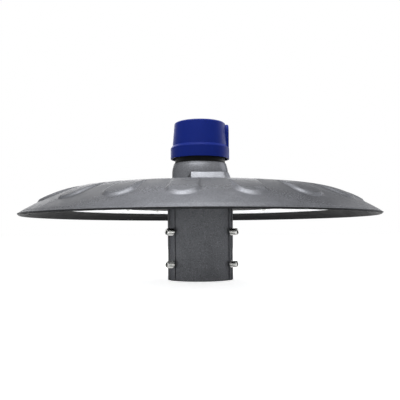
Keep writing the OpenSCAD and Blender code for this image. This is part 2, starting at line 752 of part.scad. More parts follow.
module receptacle() color(plastic_black) difference() {
    union() {
        translate([0, 0, receptacle_z]) cylinder(h = receptacle_t, r = receptacle_r, $fn = fine);
        translate([0, 0, receptacle_z - body_drop]) cylinder(h = body_drop + join, r = body_r, $fn = fine);
    }
    for (i = [0:2]) {
        from = blade_angles[i] - blade_spans[i] / 2 - slot_spare;
        to = blade_angles[i] + blade_spans[i] / 2 + twist_angle + slot_spare;
        translate([0, 0, receptacle_top - slot_depth]) intersection() {
            disc_ring(slot_out_r, slot_in_r, slot_depth + join);
            union() {
                sector(from, to, slot_depth + 2 * join);
                sector(from - blade_foot, to, slot_depth - slot_lip_t);
            }
        }
        translate([0, 0, receptacle_z - body_drop - join]) intersection() {
            disc_ring(contact_r + 0.1, contact_r - contact_t - 0.1, body_drop);
            sector(blade_angles[i] - tail_span / 2 - 1, blade_angles[i] + tail_span / 2 + 1, body_drop);
        }
    }
    for (side = [-1, 1]) translate([side * neck_boss_x, 0, receptacle_z]) {
        screw_hole(small_screw_d, receptacle_t + join);
        translate([0, 0, receptacle_t - screw_sink])
            cylinder(h = screw_sink + join, r = small_screw_d * 0.9 + fit_gap, $fn = coarse);
    }
}

module receptacle_gasket() color(rubber_black) translate([0, 0, neck_top]) difference() {
    disc_ring(receptacle_r - 0.6, body_r + fit_gap, receptacle_seal_t);
    for (side = [-1, 1]) translate([side * neck_boss_x, 0, 0]) screw_hole(small_screw_d, receptacle_seal_t + join);
}

module receptacle_screws() color(steel) for (side = [-1, 1])
    translate([side * neck_boss_x, 0, receptacle_top - screw_sink]) rotate([180, 0, 0])
        button_screw(small_screw_d, receptacle_screw_l);

// Curved spring contacts along the outside of the slots, with tails through the receptacle's floor
module receptacle_contacts() color(brass_yellow) for (i = [0:2]) {
    low = receptacle_z - body_drop - tail_drop;
    floor_z = receptacle_top - slot_depth;
    high = receptacle_top - slot_lip_t - join;
    translate([0, 0, low]) intersection() {
        disc_ring(contact_r, contact_r - contact_t, high - low);
        union() {
            sector(blade_angles[i] - tail_span / 2, blade_angles[i] + tail_span / 2, high - low);
            translate([0, 0, floor_z - low])
                sector(blade_angles[i] - contact_span / 2, blade_angles[i] + contact_span / 2, high - floor_z);
        }
    }
}

// Three leads drop from the contacts' tails and turn to the terminal block.
module receptacle_leads() color(cap_blue) for (i = [0:2]) {
    tail_r = contact_r - contact_t / 2;
    top = receptacle_z - body_drop - tail_drop;
    start = [tail_r * cos(blade_angles[i]), tail_r * sin(blade_angles[i])];
    pole_x = (i == 0 ? 0 : i == 1 ? 1 : -1) * terminal_pole_w;
    turn = [pole_x, -block_in + lead_end + 1];
    level = lead_level;
    translate([start[0], start[1], level]) {
        cylinder(h = top - level, r = lead_r, $fn = coarse);
        sphere(r = lead_r * 1.15, $fn = coarse);
    }
    translate([start[0], start[1], level])
        rotate([0, 0, atan2(turn[1] - start[1], turn[0] - start[0])]) rotate([0, 90, 0])
            cylinder(h = norm(turn - start), r = lead_r, $fn = coarse);
    translate([turn[0], turn[1], level]) {
        sphere(r = lead_r * 1.15, $fn = coarse);
        rotate([90, 0, 0]) cylinder(h = 2 * lead_end + 1, r = lead_r, $fn = coarse);
    }
}

// Outside of the moulded cover, as a section
module cap_outline(inset) {
    low = cover_low - (inset > 0 ? join : 0);
    r_round = max(cap_round - inset, 0.6);
    difference() {
        union() {
            translate([0, low]) square([collar_r - inset, collar_top - low]);
            polygon([[0, collar_top - join], [collar_r - inset, collar_top - join], [collar_r - inset, collar_top],
                [cap_base_r - inset, cap_foot], [cap_top_r - inset, cap_side_top], [cap_top_r - inset - r_round, cap_top - inset],
                [0, cap_top - inset]]);
            translate([cap_top_r - inset - r_round, cap_side_top]) circle(r = r_round, $fn = 96);
        }
        translate([-collar_r, low - join]) square([collar_r, cap_top]);
    }
}

module photocontrol_cover() color(cap_blue) difference() {
    union() {
        rotate_extrude($fn = fine) cap_outline(0);
        intersection() {
            translate([0, 0, cap_top - cap_round]) cylinder(h = cap_round + cap_crown, r = cap_top_r - cap_round, $fn = fine);
            translate([0, 0, cap_top + cap_crown - (cap_top_r ^ 2) / (2 * cap_crown)])
                sphere(r = (cap_top_r ^ 2) / (2 * cap_crown), $fn = 720);
        }
        rotate([90, 0, 90]) linear_extrude(height = window_pad_reach) {
            translate([0, arch_z]) circle(r = arch_r, $fn = 96);
            translate([-arch_r, collar_top - join]) square([window_pad_w, arch_z - collar_top + join]);
        }
    }
    rotate_extrude($fn = fine) difference() {
        cap_outline(cap_wall);
        translate([base_r + fit_gap / 2 - 2, ledge_z]) square([10, 2]);
    }
    translate([0, 0, window_z]) rotate([0, 90, 0])
        cylinder(h = 1.5 * window_pad_reach, r = window_d / 2 - 1.5, $fn = coarse);
    translate([window_pad_reach - window_t, 0, window_z]) rotate([0, 90, 0])
        cylinder(h = 10, r = window_d / 2 + thread_gap, $fn = coarse);
}

module photocontrol_base() color(plastic_black) translate([0, 0, base_z]) {
    cylinder(h = base_t, r = base_r, $fn = fine);
    on_circle(3, board_r - 5, 60) cylinder(h = board_z - base_z, r = 3, $fn = coarse);
}

module photocontrol_gasket() color(rubber_black) translate([0, 0, pc_z])
    disc_ring(receptacle_r - 1, body_r + 1, pad_ring_t);

// Curved blades whose feet reach under the receptacle's face when locked
module contact_blades() color(brass_yellow) for (i = [0:2]) {
    from = blade_angles[i] - blade_spans[i] / 2;
    to = blade_angles[i] + blade_spans[i] / 2;
    translate([0, 0, base_z - blade_length]) intersection() {
        disc_ring(blade_circle_r + blade_t / 2, blade_circle_r - blade_t / 2, blade_length);
        union() {
            sector(from, to, blade_length);
            sector(from - blade_foot, to, foot_h);
        }
    }
}

eye_x = board_r - 4;
module sensor_board() color(board_green) {
    translate([0, 0, board_z]) cylinder(h = board_t, r = board_r, $fn = fine);
    translate([eye_x - board_t, -8, board_z]) cube([board_t, 16, window_z + eye_d - board_z]);
}

module load_relay() color(plastic_black) translate([-22, -8, board_z + board_t]) cube([19, 16, 15]);

module photo_sensor() color([0.6, 0.35, 0.3]) translate([eye_x, 0, window_z]) rotate([0, 90, 0])
    cylinder(h = 3, r = eye_d / 2, $fn = coarse);

module sensor_window() color([0.75, 0.8, 0.85]) translate([window_pad_reach - window_t, 0, window_z])
    rotate([0, 90, 0]) cylinder(h = window_t, r = window_d / 2, $fn = coarse);

dome_housing();
cover_plate();
cover_gasket();
cover_screws();
lens_ring();
lens_gasket();
trim_ring();
trim_screws();
heat_spreader();
spreader_screws();
led_boards();
led_chips();
slip_fitter();
fitter_gasket();
fitter_bolts();
set_screws();
wire_grommet();
driver_left();
driver_right();
driver_screws();
surge_protector();
terminal_block();
receptacle();
receptacle_gasket();
receptacle_screws();
receptacle_contacts();
receptacle_leads();
photocontrol_cover();
photocontrol_base();
photocontrol_gasket();
contact_blades();
sensor_board();
load_relay();
photo_sensor();
sensor_window();
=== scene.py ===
import math

import bpy
import numpy as np
from bpy.props import FloatProperty, FloatVectorProperty, PointerProperty
from mathutils import Matrix, Vector


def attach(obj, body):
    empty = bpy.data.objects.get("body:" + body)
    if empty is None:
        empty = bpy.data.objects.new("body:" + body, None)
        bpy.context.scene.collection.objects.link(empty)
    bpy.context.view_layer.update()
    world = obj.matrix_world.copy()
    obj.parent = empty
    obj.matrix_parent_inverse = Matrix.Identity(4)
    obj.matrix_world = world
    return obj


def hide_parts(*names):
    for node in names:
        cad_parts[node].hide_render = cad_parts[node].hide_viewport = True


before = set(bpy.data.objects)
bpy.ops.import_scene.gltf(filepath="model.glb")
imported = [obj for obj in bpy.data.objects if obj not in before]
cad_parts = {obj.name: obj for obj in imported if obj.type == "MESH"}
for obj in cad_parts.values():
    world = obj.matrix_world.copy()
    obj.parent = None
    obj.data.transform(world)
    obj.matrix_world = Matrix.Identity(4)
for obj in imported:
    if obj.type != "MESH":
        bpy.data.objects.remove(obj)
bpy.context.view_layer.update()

bl_info = {
    "name": "Pole-top area light",
    "version": (1, 0, 0),
    "blender": (4, 5, 0),
    "location": "3D View > Sidebar > Area light",
    "description": "Finishes and details of a round pole-top light with a twist-lock photocontrol",
    "category": "Object",
}


# Materials

# Sockets of a Mix node that mixes colours: factor, first colour, second colour, result
MIX_FACTOR, MIX_FIRST, MIX_SECOND, MIX_RESULT = 0, 6, 7, 2
PAINT_EDGE = (0.3, 0.3, 0.31)
WHITE = (1, 1, 1, 1)


def linear(colour):
    """An sRGB colour, 0 to 1, as the linear colour with alpha that a shader takes."""
    channels = (c / 12.92 if c <= 0.04045 else ((c + 0.055) / 1.055) ** 2.4 for c in colour)
    return (*channels, 1.0)


def scaled(colour, factor):
    """A colour made darker or lighter, with no channel above one."""
    return [min(1, c * factor) for c in colour]


class Finish:
    """A material whose nodes are added one after another."""

    def __init__(self, name, colour, roughness, metallic=0.0, specular=0.5, edge=None):
        self.material = bpy.data.materials.new(name)
        self.material.use_nodes = True
        self.material.diffuse_color = linear(colour)
        self.tree = self.material.node_tree
        self.shader = self.tree.nodes["Principled BSDF"]
        self.place = self.tree.nodes.new("ShaderNodeTexCoord").outputs["Object"]
        self.shader.inputs["Base Color"].default_value = linear(colour)
        self.shader.inputs["Roughness"].default_value = roughness
        self.shader.inputs["Metallic"].default_value = metallic
        self.shader.inputs["Specular IOR Level"].default_value = specular
        if edge is not None:
            self.shader.inputs["Specular Tint"].default_value = linear(edge)

    def node(self, kind, **sockets):
        """Adds a node, its sockets linked or set by their names, with _ for a space."""
        made = self.tree.nodes.new("ShaderNode" + kind)
        for name, value in sockets.items():
            socket = made.inputs[name.replace("_", " ")]
            if isinstance(value, bpy.types.NodeSocket):
                self.tree.links.new(value, socket)
            else:
                socket.default_value = value
        return made

    def noise(self, scale, detail=3.0, rough=0.5, stretch=None):
        """Noise over the object's own space, which stretch packs closer along an axis."""
        place = self.place
        if stretch is not None:
            place = self.node("Mapping", Vector=place, Scale=stretch).outputs["Vector"]
        made = self.node("TexNoise", Vector=place, Scale=scale, Detail=detail, Roughness=rough)
        return made.outputs["Fac"]

    def cells(self, scale):
        """Distance from the middles of random cells."""
        made = self.node("TexVoronoi", Vector=self.place, Scale=scale)
        return made.outputs["Distance"]

    def spread(self, value, low, high, out_low=0.0, out_high=1.0):
        """Maps the range from low to high onto another one, and clamps the result."""
        made = self.node("MapRange", Value=value, From_Min=low, From_Max=high,
                         To_Min=out_low, To_Max=out_high)
        return made.outputs["Result"]

    def tint(self, factor, other):
        """Mixes the base colour towards another colour by a factor."""
        made = self.tree.nodes.new("ShaderNodeMix")
        made.data_type = "RGBA"
        source = self.shader.inputs["Base Color"]
        if source.links:
            self.tree.links.new(source.links[0].from_socket, made.inputs[MIX_FIRST])
        else:
            made.inputs[MIX_FIRST].default_value = source.default_value
        made.inputs[MIX_SECOND].default_value = linear(other)
        self.tree.links.new(factor, made.inputs[MIX_FACTOR])
        self.tree.links.new(made.outputs[MIX_RESULT], source)

    def roughen(self, value, low, high):
        """Lets the roughness run between two values."""
        roughness = self.spread(value, 0.3, 0.7, low, high)
        self.tree.links.new(roughness, self.shader.inputs["Roughness"])

    def bump(self, height, strength, distance):
        """Adds a bump over those that the material has."""
        made = self.node("Bump", Height=height, Strength=strength, Distance=distance)
        target = self.shader.inputs["Normal"]
        if target.links:
            self.tree.links.new(target.links[0].from_socket, made.inputs["Normal"])
        self.tree.links.new(made.outputs["Normal"], target)

    def painted_shade_below(self):
        """A mask for painted shade: one where the surface looks down, zero where it is upright or
        looks up.
        """
        normal = self.tree.nodes.new("ShaderNodeNewGeometry").outputs["Normal"]
        up = self.node("SeparateXYZ", Vector=normal).outputs["Z"]
        return self.spread(up, -0.1, -0.6)


def powder_coat(name, colour, darker, grain, depth, rough=0.4, metal=0.7, specular=0.12):
    """Fine sand-textured paint with metallic flakes, with painted shade that darkens it where it
    looks down.
    """
    finish = Finish(name, colour, rough, metallic=metal, specular=specular, edge=PAINT_EDGE)
    clouds = finish.noise(scale=9, detail=4)
    specks = finish.noise(scale=1.0 / grain, detail=2, rough=0.6)
    flakes = finish.noise(scale=1.7 / grain, detail=1)
    finish.tint(finish.spread(clouds, 0.35, 0.7), darker)
    finish.tint(finish.spread(specks, 0.5, 0.68, out_high=0.7), scaled(colour, 0.78))
    finish.tint(finish.spread(flakes, 0.55, 0.72, out_high=0.6), scaled(colour, 1.28))
    # Painted shade: the paint turns much darker wherever the surface looks down
    finish.tint(finish.painted_shade_below(), scaled(colour, 0.3))
    finish.roughen(finish.noise(scale=60), rough - 0.05, rough + 0.06)
    finish.bump(specks, 0.35, depth)
    finish.bump(finish.noise(scale=35, detail=2), 0.12, depth * 2)
    return finish.material


def moulded_plastic(name, colour, lighter, rough, specular=0.5):
    """Plastic with a fine moulded grain and slow changes of tone."""
    grain, depth = 0.0009, 0.00003
    finish = Finish(name, colour, rough, specular=specular)
    clouds = finish.noise(scale=14, detail=4)
    finish.tint(finish.spread(clouds, 0.4, 0.75, out_high=0.6), lighter)
    finish.roughen(finish.noise(scale=90), rough - 0.04, rough + 0.05)
    finish.bump(finish.noise(scale=1.0 / grain, detail=2), 0.2, depth)
    return finish.material


def bare_metal(name, colour, rough, stretch=(1, 1, 14), scale=260):
    """Metal with fine lines that lie across the axis with the greatest stretch."""
    finish = Finish(name, colour, rough, metallic=1.0)
    lines = finish.noise(scale, rough=0.6, stretch=stretch)
    finish.tint(finish.spread(lines, 0.45, 0.8, out_high=0.5), scaled(colour, 0.72))
    finish.roughen(lines, rough - 0.06, rough + 0.1)
    finish.bump(lines, 0.15, 0.00003)
    return finish.material


def soft_rubber(name, colour, rough=0.75, pore=0.0012):
    """Rubber or foam with dark pores."""
    finish = Finish(name, colour, rough, specular=0.35)
    pores = finish.cells(1.0 / pore)
    finish.tint(finish.spread(pores, 0.1, 0.6, out_low=0.5, out_high=0), scaled(colour, 0.5))
    finish.bump(pores, 0.3, 0.0001)
    return finish.material


def diffusing_lens(name, colour, glow):
    """Milky plastic with fine facets that scatters light, with a faint painted glow that brightens
    it in the shade under the dome.
    """
    finish = Finish(name, colour, 0.3)
    clouds = finish.noise(scale=20)
    finish.tint(finish.spread(clouds, 0.4, 0.7, out_high=0.4), scaled(colour, 0.97))
    finish.bump(finish.cells(420.0), 0.2, 0.0001)
    finish.shader.inputs["Subsurface Weight"].default_value = 0.15
    finish.shader.inputs["Subsurface Radius"].default_value = (0.01, 0.01, 0.01)
    # Painted glow: a faint emission brightens the lens in the shade under the dome, though its
    # lamps are not lit
    finish.shader.inputs["Emission Color"].default_value = linear(colour)
    finish.shader.inputs["Emission Strength"].default_value = glow
    return finish.material


def circuit_board(name, colour, trace):
    """A lacquered board with the lines of its copper showing through."""
    finish = Finish(name, colour, 0.35)
    lines = finish.node("TexBrick", Vector=finish.place, Scale=160.0).outputs["Fac"]
    finish.tint(finish.spread(lines, 0, 1, out_high=0.6), trace)
    finish.bump(lines, 0.3, 0.00003)
    return finish.material


def clear_plastic(name, tone):
    """See-through plastic with a slightly uneven face."""
    finish = Finish(name, tone, 0.06)
    finish.shader.inputs["Transmission Weight"].default_value = 1.0
    finish.shader.inputs["IOR"].default_value = 1.49
    finish.bump(finish.noise(scale=40, detail=2), 0.05, 0.00005)
    return finish.material


def dress(nodes, material):
    """Gives a material to every slot of the named CAD pieces."""
    for name in nodes:
        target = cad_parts[name]
        if not target.material_slots:
            target.data.materials.append(material)
        for slot in target.material_slots:
            slot.material = material


# Modelling

def clear_selection():
    if bpy.context.object and bpy.context.object.mode != "OBJECT":
        bpy.ops.object.mode_set(mode="OBJECT")
    bpy.ops.object.select_all(action="DESELECT")


def only(piece):
    """Selects one piece and makes it the active one."""
    clear_selection()
    piece.select_set(True)
    bpy.context.view_layer.objects.active = piece


def settle(piece, name, material, body):
    """Names a finished piece, brings its place into its mesh and hands it to its body."""
    only(piece)
    bpy.ops.object.transform_apply(location=True, rotation=True, scale=True)
    piece.name = name
    piece.data.name = name
    piece.data.materials.clear()
    piece.data.materials.append(material)
    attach(piece, body)


def merge_doubles(distance=1e-6):
    """Merges the doubled vertices of the active piece, which is in edit mode."""
    bpy.ops.mesh.select_all(action="SELECT")
    bpy.ops.mesh.remove_doubles(threshold=distance)


def turned(outline, steps):
    """A solid spun round the vertical axis from a closed outline of radii and heights."""
    clear_selection()
    bpy.ops.mesh.primitive_circle_add(vertices=len(outline), radius=1, location=(0, 0, 0))
    piece = bpy.context.object
    for vertex, (r, z) in zip(piece.data.vertices, outline):
        vertex.co = (r, 0, z)
    bpy.ops.object.mode_set(mode="EDIT")
    bpy.ops.mesh.select_all(action="SELECT")
    bpy.ops.mesh.spin(steps=steps, angle=2 * math.pi, center=(0, 0, 0), axis=(0, 0, 1))
    merge_doubles()
    bpy.ops.mesh.normals_make_consistent(inside=False)
    bpy.ops.object.mode_set(mode="OBJECT")
    return piece


def smooth_edges(piece, degrees):
    """Shades a piece smooth, apart from edges sharper than an angle."""
    only(piece)
    bpy.ops.object.shade_smooth_by_angle(angle=math.radians(degrees))


def places(piece):
    """The vertices of a mesh as rows of x, y and z."""
    flat = np.empty(len(piece.data.vertices) * 3)
    piece.data.vertices.foreach_get("co", flat)
    return flat.reshape(-1, 3)


def polar(rows):
    """The radius and the angle of each row about the vertical axis."""
    return np.hypot(rows[:, 0], rows[:, 1]), np.arctan2(rows[:, 1], rows[:, 0])


def move_to(piece, rows):
    """Puts the vertices of a mesh at new places."""
    piece.data.vertices.foreach_set("co", rows.ravel())
    piece.data.update()


def arc_points(centre, radius, start, end, count):
    """Points on an arc between two angles in degrees."""
    return [(centre[0] + radius * math.cos(a), centre[1] + radius * math.sin(a))
            for a in np.radians(np.linspace(start, end, count))]


def arc_height(radius, centre, r):
    """Height of an upward arc with a centre at a radius and a height."""
    return centre[1] + np.sqrt(np.maximum(radius ** 2 - np.square(r - centre[0]), 0))


def soft_most(a, b, soft):
    """The greater of two heights, eased over where they meet."""
    near = np.maximum(soft - np.abs(a - b), 0) / soft
    return np.maximum(a, b) + near * near * soft / 4


class DomeForm:
    """The outside of the dome casting, as a height over each place on its plan.

    The sizes are the CAD casting's, and rim and lip are the radius and the height of the
    upper and the lower end of the slanted face at its edge.
    """
    rim = (0.250, 0.092)
    lip = (0.2476, 0.0896)
    crown_z = 0.1385
    crown_arc = 1.4
    shoulder_start = 0.166
    shoulder_arc = 0.155
    flange_start = 0.175
    flange_arc = 0.330
    petals = 18
    petal_r = 0.2095
    petal_end = 0.015
    petal_taper = math.radians(8)

    def __init__(self, ramp, soft):
        self.petal_ramp = ramp
        self.soft = soft
        turn = math.asin(self.shoulder_start / self.crown_arc)
        inner = self.crown_arc - self.shoulder_arc
        self.crown_centre = (0, self.crown_z - self.crown_arc)
        self.shoulder_centre = (inner * math.sin(turn),
                                self.crown_centre[1] + inner * math.cos(turn))
        start = (self.flange_start, float(self.crown(self.flange_start)))
        run, fall = self.rim[0] - start[0], self.rim[1] - start[1]
        chord = math.hypot(run, fall)
        offset = math.sqrt(self.flange_arc ** 2 - chord ** 2 / 4)
        self.flange_centre = ((self.rim[0] + start[0]) / 2 + fall / chord * offset,
                              (self.rim[1] + start[1]) / 2 - run / chord * offset)
        self.petal_z = float(self.crown(self.petal_r))
        self.tilt = math.asin((self.petal_r - self.shoulder_centre[0]) / self.shoulder_arc)

    def crown(self, r):
        """Height of the dome's wide middle and of its shoulder."""
        return np.where(r < self.shoulder_start,
                        arc_height(self.crown_arc, self.crown_centre, r),
                        arc_height(self.shoulder_arc, self.shoulder_centre, r))

    def flange(self, r):
        """Height of the flange between the petals."""
        return arc_height(self.flange_arc, self.flange_centre, r)

    def petal(self, r, turn):
        """Height of the ramp round the nearest petal, which leans with the dome."""
        pitch = 2 * math.pi / self.petals
        off = np.mod(turn + pitch / 2, pitch) - pitch / 2
        x, y = r * np.cos(off) - self.petal_r, r * np.sin(off)
        rise = self.crown(r) - self.petal_z
        slant, upright = math.sin(self.tilt), math.cos(self.tilt)
        # A place's rise and its place along the lean follow from each other
        for _ in range(6):
            along = x * upright - rise * slant
            to_end = self.petal_end - np.hypot(along, y)
            to_side = (self.petal_end - np.abs(y) * math.cos(self.petal_taper)
                       + along * math.sin(self.petal_taper))
            inwards = np.where(along > 0, to_end, np.maximum(to_end, to_side))
            rise = (inwards * math.tan(self.petal_ramp) - x * slant) / upright
        return self.petal_z + rise

    def valley(self, r):
        """Height of the outside without its petals."""
        return np.minimum(self.crown(r), self.flange(r))

    def height(self, r, turn):
        """Height of the outside, with its petals' feet and edges eased."""
        raised = soft_most(self.flange(r), self.petal(r, turn), self.soft)
        return -soft_most(-self.crown(r), -raised, self.soft)


def dome_skin(form):
    """The visible outside of the dome, its rim and its slanted lip."""
    hole_r, edge_r = 0.042, 0.2482
    tip_r, foot_r, thickness = 0.0007, 0.0004, 0.0015
    steps = 48 * form.petals
    # Radii of the rings of vertices: outwards on top, and back on the hidden side below
    middle = np.linspace(hole_r, form.shoulder_start, 9)
    petalled = np.linspace(0.168, 0.2385, 48)
    outer = [*middle, *petalled, 0.2405, 0.2425, 0.2445, 0.2465, edge_r]
    below = [0.240, 0.230, 0.215, 0.200, 0.185, 0.175, form.shoulder_start, 0.12, 0.08, hole_r]
    slope = math.atan2(form.flange(edge_r) - form.rim[1], form.rim[0] - edge_r)

    top = [(r, float(form.height(r, math.pi / form.petals))) for r in outer]
    tip = arc_points((form.rim[0] - 0.00105, form.rim[1] - 0.00015), tip_r,
                     90 - math.degrees(slope), -45, 5)
    foot = arc_points((form.lip[0] - foot_r, form.lip[1] + foot_r), foot_r, -45, -90, 3)
    inside = [(0.2462, form.lip[1]), (0.2458, 0.0915)]
    under = [(r, float(form.valley(r)) - thickness) for r in below]
    piece = turned(top + tip + foot + inside + under, steps)

    rows = places(piece)
    r, turn = polar(rows)
    level = np.interp(r, outer, [z for _, z in top])
    outside = (np.abs(rows[:, 2] - level) < 0.0001) & (r < edge_r + 0.0001)
    rows[outside, 2] = form.height(r[outside], turn[outside])
    move_to(piece, rows)
    smooth_edges(piece, 38)
    return piece


def dome_neck(form):
    """The round neck, with a rounded foot, which narrows towards its top."""
    neck_r, neck_top, foot_r, edge_r = 0.040, 0.165, 0.003, 0.0015
    arc_r, arc_z, arc_turn = 0.038, 0.150, 20.8
    low = form.crown_z - 0.0018
    foot = arc_points((neck_r + foot_r, form.crown_z + foot_r), foot_r, -90, -180, 6)
    arc = arc_points((neck_r - arc_r, arc_z), arc_r, 0, arc_turn, 9)
    edge = arc_points((arc[-1][0] - 0.0014, neck_top - edge_r), edge_r, arc_turn, 90, 6)
    inside = [(0.0350, neck_top), (0.0344, 0.1640)]
    piece = turned([(0.0365, low), (neck_r + foot_r, low), *foot, *arc, *edge, *inside], 192)
    smooth_edges(piece, 32)
    return piece


def neck_block(edge):
    """The cast block against the front of the neck, which leans back on three sides."""
    low_z, high_z = 0.1357, 0.1497
    # Corners in millimetres, from the left at the neck round the front to the right
    low = [(-24.5, -24), (-24.5, -36), (-16.5, -49.3), (32, -49.3), (41, -40.3), (38.8, -8)]
    high = [(-16.5, -24), (-16.5, -35), (-16.5, -42.3), (29.1, -42.3), (36, -35.4), (36, -12)]
    corners = [(x / 1000, y / 1000, low_z) for x, y in low]
    corners += [(x / 1000, y / 1000, high_z) for x, y in high]

    clear_selection()
    bpy.ops.mesh.primitive_cylinder_add(vertices=len(low), radius=1, depth=2)
    piece = bpy.context.object
    in_order = sorted(piece.data.vertices, key=lambda v: (v.co.z, -math.atan2(v.co.x, v.co.y)))
    for vertex, corner in zip(in_order, corners):
        vertex.co = corner
    bpy.ops.object.mode_set(mode="EDIT")
    bpy.ops.mesh.select_all(action="SELECT")
    bpy.ops.mesh.normals_make_consistent(inside=False)
    bpy.ops.object.mode_set(mode="OBJECT")
    ease = piece.modifiers.new("Ease", "BEVEL")
    ease.width = edge
    ease.segments = 3
    bpy.ops.object.modifier_apply(modifier=ease.name)
    smooth_edges(piece, 35)
    return piece


def set_screw(pitch, depth):
    """A set screw that stands on the origin, its hexagon socket on top."""
    outer, length = 0.005, 0.0169
    socket_r, socket_depth, drill_depth = 0.0025, 0.005, 0.0009
    side_from, side_to = 0.0018, length - 0.0007
    thread_from, thread_to = 0.0016, length - 0.0005
    steps_per_turn = 6
    side_steps = int(round((side_to - side_from) / (pitch / steps_per_turn)))

    point = [(0.0, 0.0), (outer - 0.0020, 0.0), (outer - 0.0012, 0.0006)]
    side = [(outer - 0.0001, z) for z in np.linspace(side_from, side_to, side_steps)]
    end = [(outer - 0.0009, length - 0.0002), (outer - 0.0012, length), (0.0033, length)]
    socket = [(0.0030, length - 0.0004), (0.0029, length - socket_depth),
              (0.0, length - socket_depth - drill_depth)]
    piece = turned(point + side + end + socket, 48)

    rows = places(piece)
    r, turn = polar(rows)
    z = rows[:, 2]
    new_r = r.copy()
    wall = (r > outer - 0.0008) & (z > thread_from) & (z < thread_to)
    phase = np.mod(z / pitch - turn / (2 * math.pi), 1)
    ridge = np.clip(1.6 * np.abs(2 * phase - 1) - 0.3, 0, 1)
    run_out = np.clip(np.minimum(z - thread_from, thread_to - z) / (0.7 * pitch), 0, 1)
    new_r[wall] = outer - depth * (1 - ridge[wall] * run_out[wall])
    hexagon = (r > 0.0028) & (r < 0.00305) & (z > length - socket_depth - 0.0001)
    from_flat = np.mod(turn + math.pi / 6, math.pi / 3) - math.pi / 6
    new_r[hexagon] = socket_r / np.cos(from_flat[hexagon])
    rows[:, :2] *= np.where(r > 0, new_r / np.maximum(r, 1e-9), 1)[:, None]
    move_to(piece, rows)
    smooth_edges(piece, 30)
    return piece


def dome_core(form):
    """A copy of the CAD casting whose outside is sunk a little under the new outside."""
    sink, rim_sink, lip_sink, lip_lift = 0.00075, 0.0015, 0.0010, 0.00015
    neck_in, neck_out, foot_out = 0.0345, 0.0403, 0.0432
    # Where the block stands against the neck, and the radius of what lies behind it
    block_r, block_y, block_top, behind_block = 0.0375, -0.026, 0.1505, 0.0368
    rim_r, lip_r, lip_top = 0.246, 0.2465, 0.0900
    clear_selection()
    core = bpy.data.objects.new("dome_core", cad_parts["dome_housing"].data.copy())
    bpy.context.scene.collection.objects.link(core)
    only(core)
    bpy.ops.object.mode_set(mode="EDIT")
    merge_doubles()
    bpy.ops.object.mode_set(mode="OBJECT")

    rows = places(core)
    r, _ = polar(rows)
    y, z = rows[:, 1].copy(), rows[:, 2].copy()
    outside = (r > neck_out) & (z > form.valley(r) - 0.0004)
    neck = (r > neck_in) & (r < foot_out) & (z > form.crown_z - 0.0006)
    front = neck & (r > block_r) & (y < block_y) & (z < block_top)
    rim = outside & (r > rim_r)
    lip = (r > lip_r) & (z < lip_top)
    rows[outside, 2] = form.valley(r[outside]) - sink
    rows[lip, 2] += lip_lift
    new_r = r.copy()
    new_r[neck] -= sink
    new_r[front] = behind_block
    new_r[rim] = r[rim] - rim_sink
    new_r[lip] = r[lip] - lip_sink
    rows[:, :2] *= (new_r / r)[:, None]
    move_to(core, rows)
    return core


# Sizes and colours

class HousingLook(bpy.types.PropertyGroup):
    paint: FloatVectorProperty(
        name="Paint", description="Colour of the powder coat on the castings",
        default=(0.415, 0.42, 0.435), subtype="COLOR", min=0, max=1)
    shade: FloatVectorProperty(
        name="Shade", description="Darker tone in the paint's slow changes",
        default=(0.39, 0.395, 0.41), subtype="COLOR", min=0, max=1)
    grain: FloatProperty(
        name="Grain", description="Size of the paint's fine grain",
        default=0.0019, unit="LENGTH", precision=4)
    depth: FloatProperty(
        name="Grain depth", description="Depth of the paint's grain",
        default=0.0001, unit="LENGTH", precision=5)
    ramp: FloatProperty(
        name="Ramp", description="Angle of the ramp round a petal",
        default=math.radians(33), subtype="ANGLE")
    soft: FloatProperty(
        name="Softness", description="Height over which a petal's edge is eased",
        default=0.0003, unit="LENGTH", precision=4, min=0.0001)
    edge: FloatProperty(
        name="Edge", description="Radius of the block's edges",
        default=0.0012, unit="LENGTH", precision=4)


class CapLook(bpy.types.PropertyGroup):
    plastic: FloatVectorProperty(
        name="Plastic", description="Colour of the photocontrol's moulded cover",
        default=(0.06, 0.122, 0.395), subtype="COLOR", min=0, max=1)
    roughness: FloatProperty(
        name="Roughness", description="Roughness of the cover", default=0.5, min=0, max=1)


class ScrewLook(bpy.types.PropertyGroup):
    pitch: FloatProperty(
        name="Pitch", description="Pitch of the set screws' thread",
        default=0.0015, unit="LENGTH", precision=4)
    depth: FloatProperty(
        name="Thread depth", description="Depth of the thread",
        default=0.0008, unit="LENGTH", precision=4)


class StageLook(bpy.types.PropertyGroup):
    distance: FloatProperty(
        name="Distance", description="Camera's distance from the axis",
        default=0.793, unit="LENGTH")
    eye: FloatProperty(
        name="Eye level", description="Camera's height above the fitter's mouth",
        default=0.0647, unit="LENGTH")
    turn: FloatProperty(
        name="Turn", description="Camera's angle to the left of the front",
        default=math.radians(5.1), subtype="ANGLE")
    key: FloatProperty(
        name="Key light", description="Power of the main lamp", default=21.0, min=0)
    top: FloatProperty(
        name="Top light", description="Power of the lamp overhead", default=7.0, min=0)
    back: FloatProperty(
        name="Back light", description="Power of the wide lamp behind", default=24.0, min=0)
    side: FloatProperty(
        name="Side light", description="Power of the lamp behind on the right",
        default=10.0, min=0)
    right: FloatProperty(
        name="Right light", description="Power of the small lamp on the right",
        default=0.9, min=0)
    sky: FloatProperty(
        name="Sky", description="Strength of the light from all round", default=0.3, min=0)


# Operators

